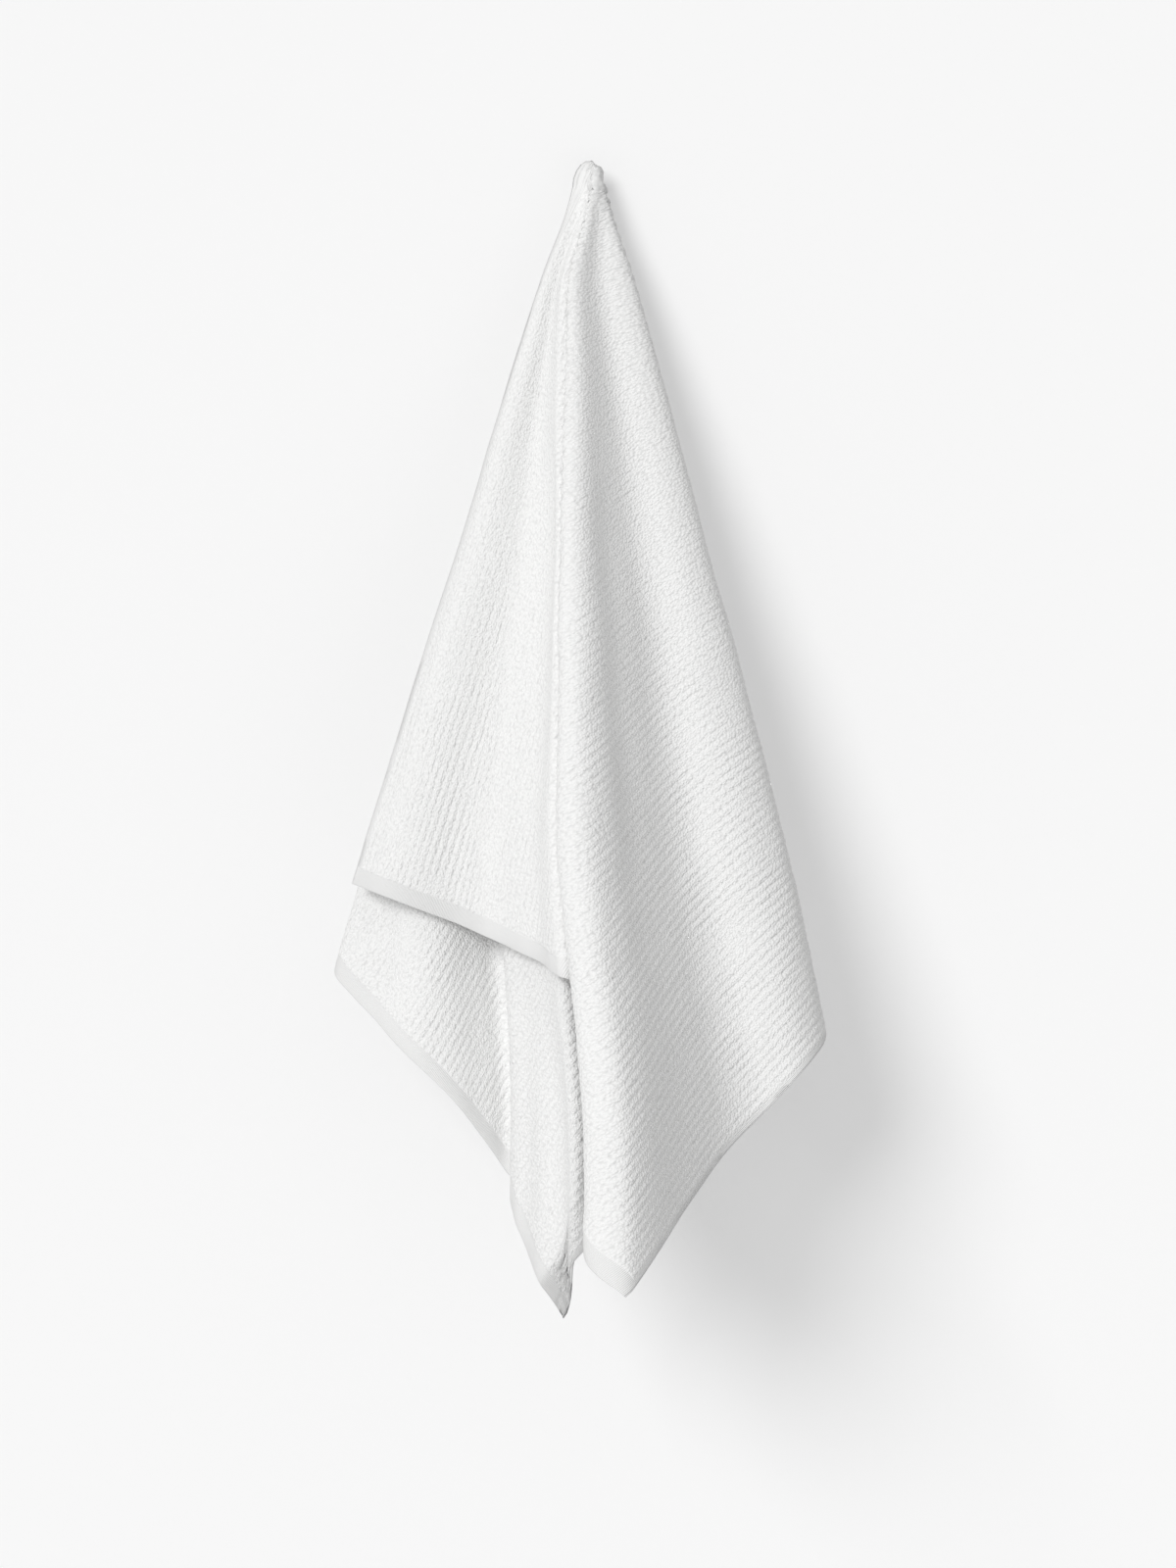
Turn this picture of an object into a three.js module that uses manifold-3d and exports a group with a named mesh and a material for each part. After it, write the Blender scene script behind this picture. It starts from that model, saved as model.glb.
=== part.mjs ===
// A ribbed cotton terry cloth, hung up by one point near the middle of a long side, so that it falls in folds.
// Millimetres, +Z up, +X to the right, and the front of the cloth faces -Y. The origin is the hang point.
//
// The hung cloth is a folded fan. Every straight line on the flat cloth that starts at the hang point stays
// straight, so one table of directions, a row for each fold, gives the whole drape: the row says which line of
// the flat cloth the fold lies on, and which way that line hangs.

import * as THREE from 'three';
import Module from 'manifold-3d';

// The flat cloth. The ribs run from end hem to end hem.
const WIDTH = 502; // across the ribs, from selvedge to selvedge
const TO_FRONT_HEM = 451; // along the ribs, from the hang point to the hem that hangs in front
const TO_BACK_HEM = 458; // along the ribs, from the hang point to the hem that hangs behind

const THICKNESS = 2.4;
const SQUEEZE = 0.017; // near the top the cloth is squeezed to this share of its distance from the apex
const APEX_HEIGHT = 30; // the fan's lines meet this far above the hang point
const SHEET_START = 86; // distance from the apex at which the sheet leaves the gather
const ROWS = 6; // steps from the gather to the hem

// The gather: the bunched cloth around the hang point. Its rings pass from a round top to the folds' own outline.
const GATHER_SIDES = 36;
const GATHER_RINGS = [
  { z: 5.4, radius: 5, folded: 0 },
  { z: 3, radius: 9, folded: 0 },
  { z: -2, radius: 11.2, folded: 0 },
  { z: -9, radius: 11.8, folded: 0.1 },
  { z: -20, radius: 13, folded: 0.6 },
  { z: -34, radius: 15, folded: 1 },
  { z: -62, radius: 20, folded: 1 },
];
const GATHER_TOP = 6;
const GATHER_HOLLOW = -44;
const GATHER_FLATTEN = 0.8; // depth over width of the round top
const GATHER_OUTLINE = [
  { across: -17.5, forward: -0.6 },
  { across: -16.6, forward: -4.4 },
  { across: -5, forward: -8.4 },
  { across: 5.4, forward: -9.6 },
  { across: 10, forward: -7.4 },
  { across: 15.2, forward: -0.8 },
  { across: 15.2, forward: 2.2 },
  { across: 10.6, forward: 4.6 },
  { across: 5.6, forward: 4.2 },
  { across: 2.2, forward: 5.2 },
  { across: -3.2, forward: 10.7 },
  { across: -6.2, forward: 12.3 },
  { across: -8.2, forward: 10.8 },
  { across: -10.8, forward: 6 },
  { across: -14.4, forward: 4 },
];

// The strip beside the selvedge at the back corner turns away from the front.
const CURL = { strip: 34, bend: 8, turn: 64, alongStart: 365, alongEnd: 440, deepen: 1.5, lean: -0.1 };

// A fold may swing sideways and come forward between these distances from the hang point.
const SWING_START = 350;
const SWING_END = 620;

// A fold may be tucked sideways against its neighbour below these distances, where the cloth has room.
const TUCK_RISE = [80, 260];

// A fold may be shifted sideways high up: the shift grows to its full size here, and fades away again there.
const SHIFT_START = 80;
const SHIFT_FADE = [380, 590];

// The weave gives a little around the back corner, which hangs on the bias.
const SAG = { depth: 9, start: 520, end: 690, narrow: 3, wide: 8 };

const degrees = (radians) => THREE.MathUtils.radToDeg(radians);
const FRONT_CORNER = degrees(Math.atan2(WIDTH, TO_FRONT_HEM));
const BACK_CORNER = 180 - degrees(Math.atan2(WIDTH, TO_BACK_HEM));

// Each row is a fold or a turn of the cloth, in order from one half of the hung long side to the other.
// flat: the angle on the flat cloth, at the hang point, from the front half of that side.
// across, forward: the way the line hangs, from straight down, to the right and to the front.
// round: how far to each side, in flat angle, the turn is rounded.
// swing, advance: added to across and to forward at the low end. shift: millimetres sideways at the high end.
// tuck: added to across below the tuck's rise.
const FOLDS = [
  { flat: 0, across: -17.3, forward: 0, round: 0 }, // selvedge at the front left
  { flat: 5.3, across: -13.6, forward: 3.2, round: 3.2, shift: -4 },
  { flat: 11.6, across: -7.8, forward: 1.7, round: 3.2, shift: -8 },
  { flat: 15.6, across: -4.9, forward: 4.2, round: 2.8, shift: -11 },
  { flat: 20.2, across: -2.4, forward: 7.9, round: 2.0, shift: -14 },
  { flat: 21.7, across: -1.8, forward: 9.2, round: 0.7, shift: -14 },
  { flat: 22.9, across: -1.0, forward: 10.1, round: 0.6, shift: -14 },
  { flat: 23.9, across: -0.4, forward: 9.4, round: 0.5, shift: -14 },
  { flat: 33.3, across: 3.3, forward: 1.3, round: 0.8, shift: -12 },
  { flat: 34.9, across: 4.8, forward: 1.3, round: 0.8, shift: -12 },
  { flat: 42.8, across: 2.0, forward: 8.1, round: 1.0, shift: -14 },
  { flat: 44.9, across: 0.65, forward: 9.7, round: 0.9, swing: 0.3, shift: -14, tuck: -0.75 },
  { flat: 46.2, across: 0.0, forward: 10.8, round: 0.7, swing: 0.4, shift: -14, tuck: -0.85 },
  { flat: 47.2, across: 0.45, forward: 11.7, round: 0.8, swing: 0.5, shift: -14, tuck: -0.55 },
  { flat: FRONT_CORNER, across: 1.2, forward: 12.0, round: 1.2, swing: 0.5, shift: -14 },
  { flat: 50.0, across: 2.9, forward: 10.9, round: 1.9, shift: -13 },
  { flat: 54.3, across: 5.2, forward: 7.2, round: 2.5, shift: -11 },
  { flat: 58.3, across: 7.6, forward: 4.2, round: 3.4, shift: -10 }, // valley
  { flat: 61.2, across: 10.0, forward: 3.4, round: 2.6, shift: -9 },
  { flat: 64.8, across: 12.7, forward: 4.1, round: 2.8, swing: -0.3, shift: -5 }, // second ridge
  { flat: 68.4, across: 15.1, forward: 2.0, round: 1.7, swing: -0.9 },
  { flat: 71.1, across: 15.1, forward: -0.6, round: 1.3, swing: -0.9 }, // fold at the right edge
  { flat: 73, across: 14.0, forward: -2.4, round: 0.9, swing: -0.5 },
  { flat: 78.4, across: 11.2, forward: 0.8, round: 0.9, shift: -5 }, // inner folds, behind the front
  { flat: 80.2, across: 9.5, forward: 0.8, round: 0.9, shift: -5 },
  { flat: 88.8, across: 9.4, forward: -6.9, round: 0.9, shift: -5 },
  { flat: 90.6, across: 7.9, forward: -6.9, round: 0.9, shift: -5 },
  { flat: 97.4, across: 7.8, forward: -0.4, round: 1.1, shift: -6 },
  { flat: 99.6, across: 6.0, forward: -1.2, round: 1.1, shift: -6 },
  { flat: 105.4, across: 6.0, forward: -6.9, round: 0.9, shift: -6 },
  { flat: 107.2, across: 4.3, forward: -6.9, round: 0.9, shift: -6 },
  { flat: 112.2, across: 4.2, forward: -2.2, round: 0.9, shift: -6 },
  { flat: 114, across: 2.8, forward: -2.2, round: 0.9, shift: -6 },
  { flat: 115.5, across: 2.8, forward: -3.6, round: 0.8, shift: -6 },
  { flat: 117.1, across: 1.4, forward: -3.6, round: 0.8, shift: -7 },
  { flat: 127.6, across: -0.85, forward: 6.2, round: 0.6, swing: 1.4, advance: 1.4, shift: -12 },
  { flat: 129.0, across: -1.65, forward: 6.6, round: 0.6, swing: 0.7, advance: 2.9, shift: -12 },
  { flat: BACK_CORNER, across: -3.5, forward: 4.4, round: 1.6, swing: 2.3, advance: 2.6, shift: -9 },
  { flat: 135.0, across: -5.0, forward: 2.5, round: 1.2, swing: 2.2, advance: 2.5, shift: -7 },
  { flat: 138.0, across: -6.8, forward: 0.4, round: 0.4, swing: 2.5, advance: 2.3, shift: -5 },
  { flat: 138.9, across: -6.6, forward: -0.9, round: 0.4, swing: 2.5, advance: 2.6, shift: -5 },
  { flat: 146.2, across: -12.8, forward: 1.0, round: 3.0, swing: 4.1, advance: 1.8, shift: -2 },
  { flat: 154.6, across: -17.1, forward: -2.2, round: 1.1 }, // fold at the left edge, behind
  { flat: 157, across: -16.2, forward: -4.3, round: 0.9 },
  { flat: 168, across: -6.2, forward: -7.6, round: 4 },
  { flat: 180, across: 5.2, forward: -9.2, round: 0 }, // selvedge at the back
];
const ROUND_STEPS = [-1, -0.5, 0, 0.5, 1];
const LONGEST_STEP = 3.5;

const COTTON = new THREE.MeshStandardMaterial({ color: 0xf1f1ef, roughness: 0.95, metalness: 0 });

/** Distance from the hang point to the edge of the flat cloth, along one flat angle. */
function edgeDistance(flat) {
  const angle = THREE.MathUtils.degToRad(flat);
  const along = Math.cos(angle);
  const toHem = along >= 0 ? TO_FRONT_HEM / Math.max(along, 1e-9) : TO_BACK_HEM / -along;
  return Math.min(toHem, WIDTH / Math.max(Math.sin(angle), 1e-9));
}

/** Half the flat angle over which a fold is rounded, kept within half of its two neighbouring stretches. */
function roundOf(index) {
  const before = FOLDS[index].flat - FOLDS[index - 1].flat;
  const after = FOLDS[index + 1].flat - FOLDS[index].flat;
  return Math.min(FOLDS[index].round, before / 2, after / 2);
}

/** Across and forward angle and shift of one row of the table, at this distance from the hang point. */
function hangOf(fold, distance) {
  const share = THREE.MathUtils.smoothstep(distance, SWING_START, SWING_END);
  const closed = THREE.MathUtils.smoothstep(distance, ...TUCK_RISE);
  const across = fold.across + (fold.swing ?? 0) * share + (fold.tuck ?? 0) * closed;
  return new THREE.Vector3(across, fold.forward + (fold.advance ?? 0) * share, fold.shift ?? 0);
}

/** Across and forward angle and shift of any line of the cloth: straight between the folds, rounded at them. */
function hangAt(flat, distance) {
  const next = Math.max(1, FOLDS.findIndex((fold) => fold.flat >= flat));
  const start = hangOf(FOLDS[next - 1], distance);
  const end = hangOf(FOLDS[next], distance);
  const share = (flat - FOLDS[next - 1].flat) / (FOLDS[next].flat - FOLDS[next - 1].flat);
  for (const index of [next - 1, next]) {
    if (index > 0 && index < FOLDS.length - 1 && Math.abs(flat - FOLDS[index].flat) < roundOf(index)) {
      return roundedTurn(index, flat, distance);
    }
  }
  return start.lerp(end, share);
}

/** A parabola that leaves the stretch before a fold and joins the stretch after it. */
function roundedTurn(index, flat, distance) {
  const reach = roundOf(index);
  const [before, here, after] = [index - 1, index, index + 1].map((row) => hangOf(FOLDS[row], distance));
  const start = here.clone().lerp(before, reach / (FOLDS[index].flat - FOLDS[index - 1].flat));
  const end = here.clone().lerp(after, reach / (FOLDS[index + 1].flat - FOLDS[index].flat));
  const share = (flat - FOLDS[index].flat + reach) / (2 * reach);
  return start.lerp(here, share).lerp(here.clone().lerp(end, share), share);
}

/** How the strip at the back corner has turned at a place on the flat cloth: inwards and backwards. */
function curlAt(flat, distance) {
  const angle = THREE.MathUtils.degToRad(flat);
  const strip = Math.max(0, distance * Math.sin(angle) - (WIDTH - CURL.strip));
  const share = THREE.MathUtils.smoothstep(-distance * Math.cos(angle), CURL.alongStart, CURL.alongEnd);
  const turn = Math.max(1e-4, THREE.MathUtils.degToRad(CURL.turn) * share);
  const radius = CURL.bend / turn;
  const bent = Math.min(strip, CURL.bend);
  const reach = radius * Math.sin(bent / radius) + (strip - bent) * Math.cos(turn);
  const depth = radius * (1 - Math.cos(bent / radius)) + (strip - bent) * Math.sin(turn);
  const inward = CURL.lean * (strip - reach);
  return new THREE.Vector3(-inward, CURL.deepen * depth, inward);
}

/** How far a line of the cloth reaches at this distance: a little further on the bias. */
function reachOf(flat, distance) {
  const off = THREE.MathUtils.smoothstep(Math.abs(flat - BACK_CORNER), SAG.narrow, SAG.wide);
  return distance + SAG.depth * (1 - off) * THREE.MathUtils.smoothstep(distance, SAG.start, SAG.end);
}

/** The middle of the cloth's thickness, at one flat angle and distance from the hang point. */
function clothPoint(flat, distance) {
  const hang = hangAt(flat, distance);
  const [across, forward] = [hang.x, hang.y].map(THREE.MathUtils.degToRad);
  const line = new THREE.Vector3(Math.tan(across), -Math.tan(forward), -1).normalize();
  const point = line.multiplyScalar(reachOf(flat, distance) + APEX_HEIGHT);
  const high = THREE.MathUtils.smoothstep(distance, 0, SHIFT_START);
  point.x += hang.z * high * (1 - THREE.MathUtils.smoothstep(distance, ...SHIFT_FADE));
  point.z += APEX_HEIGHT;
  return point.add(curlAt(flat, distance));
}

/** The cloth's unit normal, from two short steps on its surface. */
function clothNormal(flat, distance) {
  const turn = 0.02;
  const low = Math.max(0, flat - turn);
  const high = Math.min(180, flat + turn);
  const sideways = clothPoint(high, distance).sub(clothPoint(low, distance));
  const downwards = clothPoint(flat, distance).sub(clothPoint(flat, distance - 1));
  return sideways.cross(downwards).normalize();
}

/** The flat angles at which the cloth is cut into straight strips: close at the folds, wide between them. */
function flatAngles() {
  const angles = new Set([0, 180]);
  for (let index = 1; index < FOLDS.length - 1; index += 1) {
    ROUND_STEPS.forEach((step) => angles.add(FOLDS[index].flat + step * roundOf(index)));
  }
  const sorted = [...angles].sort((a, b) => a - b).filter((angle, i, all) => !i || angle - all[i - 1] > 0.05);
  return sorted.flatMap((angle, i) => {
    const gap = i + 1 < sorted.length ? sorted[i + 1] - angle : 0;
    const pieces = Math.max(1, Math.ceil(gap / LONGEST_STEP));
    return Array.from({ length: pieces }, (_, step) => angle + (gap * step) / pieces);
  });
}

/** The sheet as a closed solid: a front and a back face on one grid, and a strip round its four sides. */
function sheetGeometry() {
  const columns = flatAngles();
  const positions = [];
  for (const side of [0.5, -0.5]) {
    for (const flat of columns) {
      const start = SHEET_START - APEX_HEIGHT;
      for (let row = 0; row <= ROWS; row += 1) {
        const distance = start + ((edgeDistance(flat) - start) * row) / ROWS;
        const thickness = Math.min(THICKNESS, SQUEEZE * (distance + APEX_HEIGHT));
        const point = clothPoint(flat, distance);
        point.addScaledVector(clothNormal(flat, distance), side * thickness);
        positions.push(point.x, point.y, point.z);
      }
    }
  }
  const at = (face, column, row) => (face * columns.length + column) * (ROWS + 1) + row;
  const triangles = [];
  const quad = (a, b, c, d) => triangles.push(a, b, c, a, c, d);
  for (let column = 0; column < columns.length - 1; column += 1) {
    for (let row = 0; row < ROWS; row += 1) {
      quad(at(0, column, row), at(0, column + 1, row), at(0, column + 1, row + 1), at(0, column, row + 1));
      quad(at(1, column, row), at(1, column, row + 1), at(1, column + 1, row + 1), at(1, column + 1, row));
    }
    quad(at(0, column, 0), at(1, column, 0), at(1, column + 1, 0), at(0, column + 1, 0));
    quad(at(0, column, ROWS), at(0, column + 1, ROWS), at(1, column + 1, ROWS), at(1, column, ROWS));
  }
  const last = columns.length - 1;
  for (let row = 0; row < ROWS; row += 1) {
    quad(at(0, 0, row), at(0, 0, row + 1), at(1, 0, row + 1), at(1, 0, row));
    quad(at(0, last, row), at(1, last, row), at(1, last, row + 1), at(0, last, row + 1));
  }
  const geometry = new THREE.BufferGeometry();
  geometry.setAttribute('position', new THREE.Float32BufferAttribute(positions, 3));
  geometry.setIndex(triangles);
  return geometry;
}

/** The gather: rings round the hang point, closed by a point on top and by a hollow underneath. */
function gatherGeometry() {
  const corners = GATHER_OUTLINE.map(({ across, forward }) => {
    const angles = [across, forward].map(THREE.MathUtils.degToRad);
    return new THREE.Vector3(Math.tan(angles[0]), -Math.tan(angles[1]), -1);
  });
  const outline = new THREE.CatmullRomCurve3(corners, true, 'centripetal').getSpacedPoints(GATHER_SIDES);
  outline.pop();
  const rings = GATHER_RINGS.map(({ z, radius, folded }) => outline.map((corner) => {
    const around = Math.atan2(corner.y, corner.x);
    const round = new THREE.Vector3(Math.cos(around), GATHER_FLATTEN * Math.sin(around), 0);
    const onFolds = corner.clone().multiplyScalar(APEX_HEIGHT - z).setZ(0);
    return round.multiplyScalar(radius).lerp(onFolds, folded).setZ(z);
  }));
  const points = [new THREE.Vector3(0, 0, GATHER_TOP), ...rings.flat(), new THREE.Vector3(0, 0, GATHER_HOLLOW)];
  const triangles = [];
  for (let side = 0; side < GATHER_SIDES; side += 1) {
    const next = (side + 1) % GATHER_SIDES;
    for (let ring = 0; ring < rings.length - 1; ring += 1) {
      const [above, below] = [1 + ring * GATHER_SIDES, 1 + (ring + 1) * GATHER_SIDES];
      triangles.push(above + side, below + side, below + next, above + side, below + next, above + next);
    }
    const lowest = 1 + (rings.length - 1) * GATHER_SIDES;
    triangles.push(0, 1 + side, 1 + next, points.length - 1, lowest + next, lowest + side);
  }
  const geometry = new THREE.BufferGeometry();
  geometry.setFromPoints(points);
  geometry.setIndex(triangles);
  return geometry;
}

/** Six times the volume that a closed geometry holds: negative when its faces point inwards. */
function signedVolume(geometry) {
  const positions = geometry.getAttribute('position');
  const index = geometry.getIndex();
  const corner = [0, 1, 2].map(() => new THREE.Vector3());
  let sum = 0;
  for (let i = 0; i < index.count; i += 3) {
    corner.forEach((vertex, k) => vertex.fromBufferAttribute(positions, index.getX(i + k)));
    sum += corner[0].dot(corner[1].clone().cross(corner[2]));
  }
  return sum;
}

/** A manifold-3d solid of a closed geometry, with its faces turned outwards. */
function solidOf(wasm, geometry) {
  const triangles = Uint32Array.from(geometry.getIndex().array);
  if (signedVolume(geometry) < 0) triangles.reverse();
  const vertices = Float32Array.from(geometry.getAttribute('position').array);
  return new wasm.Manifold(new wasm.Mesh({ numProp: 3, vertProperties: vertices, triVerts: triangles }));
}

/** The three.js geometry of a manifold-3d solid. */
function geometryOf(solid) {
  const mesh = solid.getMesh();
  const geometry = new THREE.BufferGeometry();
  geometry.setAttribute('position', new THREE.BufferAttribute(Float32Array.from(mesh.vertProperties), 3));
  geometry.setIndex(new THREE.BufferAttribute(Uint32Array.from(mesh.triVerts), 1));
  geometry.computeVertexNormals();
  return geometry;
}

const wasm = await Module();
wasm.setup();
const cloth = new THREE.Mesh(
  geometryOf(solidOf(wasm, sheetGeometry()).add(solidOf(wasm, gatherGeometry()))),
  COTTON,
);
cloth.name = 'cloth';

const group = new THREE.Group();
group.add(cloth);

export default group;
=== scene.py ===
"""A ribbed cotton terry cloth, hung up by one point near the middle of a long side."""

import logging
import math
from dataclasses import dataclass, field
from enum import Enum

import bpy
import numpy as np
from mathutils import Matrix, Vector


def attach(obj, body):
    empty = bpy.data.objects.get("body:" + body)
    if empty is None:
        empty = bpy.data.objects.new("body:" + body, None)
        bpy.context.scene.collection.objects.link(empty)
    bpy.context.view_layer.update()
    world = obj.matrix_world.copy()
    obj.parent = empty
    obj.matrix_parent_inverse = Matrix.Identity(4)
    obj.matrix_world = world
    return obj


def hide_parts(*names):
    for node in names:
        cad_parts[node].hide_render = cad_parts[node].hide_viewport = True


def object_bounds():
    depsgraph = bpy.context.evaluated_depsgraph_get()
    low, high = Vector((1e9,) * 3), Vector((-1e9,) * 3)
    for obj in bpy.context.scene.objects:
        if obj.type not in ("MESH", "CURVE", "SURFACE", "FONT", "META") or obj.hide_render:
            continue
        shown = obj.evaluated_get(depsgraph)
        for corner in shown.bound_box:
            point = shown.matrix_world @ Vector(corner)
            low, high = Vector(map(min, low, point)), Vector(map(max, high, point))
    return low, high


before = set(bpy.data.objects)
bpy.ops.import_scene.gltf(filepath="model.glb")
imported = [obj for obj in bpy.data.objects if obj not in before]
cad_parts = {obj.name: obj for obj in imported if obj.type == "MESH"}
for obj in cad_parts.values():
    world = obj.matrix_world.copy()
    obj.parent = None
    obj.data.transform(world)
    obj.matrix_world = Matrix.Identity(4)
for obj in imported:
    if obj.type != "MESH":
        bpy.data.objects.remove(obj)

LOG = logging.getLogger("terry_cloth")
CAD_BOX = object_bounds()
MM = 0.001


class Face(Enum):
    """The two faces of the cloth: the one that hangs outwards in front, and the one inside the fold."""

    OUTER = 1
    INNER = -1


@dataclass(frozen=True)
class Fold:
    """One fold or turn of the cloth: a line of the flat cloth and the way it hangs.

    The angles are in degrees. Flat is measured in the flat cloth, round the hang point, and across and
    forward say how far the line leans to the right and to the front. Rounding is how much of the flat
    angle the turn takes to each side. Swing and advance are added to the across and forward angles low
    down, and shift moves the line sideways high up, in millimetres. Tuck is added to the across angle
    where the cloth has room to lie close against its neighbour.
    """

    flat: float
    across: float
    forward: float
    rounding: float
    swing: float = 0.0
    advance: float = 0.0
    shift: float = 0.0
    tuck: float = 0.0


@dataclass(frozen=True)
class Crease:
    """A soft trough or ridge along a line from the hang point.

    Flat is the line's angle in the flat cloth at its start, and drift is how far it has turned at its
    end, both in degrees. Start and end are distances from the hang point, width is the crease's reach
    to each side and height its rise along the outward normal, all in millimetres.
    """

    flat: float
    start: float
    end: float
    width: float
    height: float
    drift: float = 0.0


@dataclass(frozen=True)
class Wave:
    """The cloth's own unevenness at one scale: bump lengths, height and place in the noise."""

    along: float
    across: float
    height: float
    start_along: float
    start_across: float
    seed: int


@dataclass(frozen=True)
class RibChange:
    """Where the ribs stand out less or more: a flat angle, its spread in degrees and the share gained."""

    flat: float
    spread: float
    gain: float


@dataclass(frozen=True)
class FlatCloth:
    """The cloth as it is cut and woven, in millimetres."""

    width: float = 502.0
    to_front_hem: float = 451.0
    to_back_hem: float = 458.0
    hem: float = 10.0
    selvedge: float = 3.6
    ribs: int = 101
    samples_per_rib: int = 3
    ground: float = 0.8
    hem_half: float = 1.05
    hem_rise: float = 1.6
    selvedge_rise: tuple[float, float] = (-0.4, 0.9)
    stitch_depth: float = 0.3
    stitch_width: float = 0.8
    edge_round: float = 0.7
    edge_thinning: float = 0.5
    pile: float = 0.42
    pile_noise: float = 0.14
    loop_along: float = 3.1
    loop_across: float = 2.3
    rib_height: float = 0.6
    rib_middle: float = 0.6
    rib_least: float = 0.2
    rib_patch: float = 9.0
    rib_level: float = 0.8
    rib_spread: float = 0.3
    rib_fade: tuple[float, float] = (140.0, 430.0)
    rib_changes: tuple[RibChange, ...] = (
        RibChange(23.0, 1.6, -0.8),
        RibChange(46.0, 1.8, -0.8),
        RibChange(127.0, 1.8, -0.9),
        RibChange(134.5, 4.0, 1.0),
    )

    def rib_pitch(self) -> float:
        """Distance from one rib to the next."""
        return (self.width - 2 * self.selvedge) / self.ribs


def smoothstep(value: np.ndarray, low: float, high: float) -> np.ndarray:
    """Rises smoothly from 0 at low to 1 at high."""
    share = np.clip((value - low) / (high - low), 0.0, 1.0)
    return share * share * (3.0 - 2.0 * share)


def soft_noise(x: np.ndarray, y: np.ndarray, seed: int) -> np.ndarray:
    """Smooth noise from -1 to 1 with about one bump to each unit square.

    Args:
        x: First coordinate of each point.
        y: Second coordinate of each point.
        seed: Which of the patterns to use.

    Returns:
        The noise at each point.
    """
    cells = 256
    values = np.random.default_rng(seed).uniform(-1.0, 1.0, (cells, cells))
    column, row = np.floor(x).astype(int), np.floor(y).astype(int)
    across, down = x - column, y - row
    across = across * across * (3.0 - 2.0 * across)
    down = down * down * (3.0 - 2.0 * down)

    def corner(right: int, below: int) -> np.ndarray:
        """The random value at one corner of each point's cell."""
        return values[(column + right) % cells, (row + below) % cells]

    top = corner(0, 0) * (1 - across) + corner(1, 0) * across
    bottom = corner(0, 1) * (1 - across) + corner(1, 1) * across
    return top * (1 - down) + bottom * down


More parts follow.
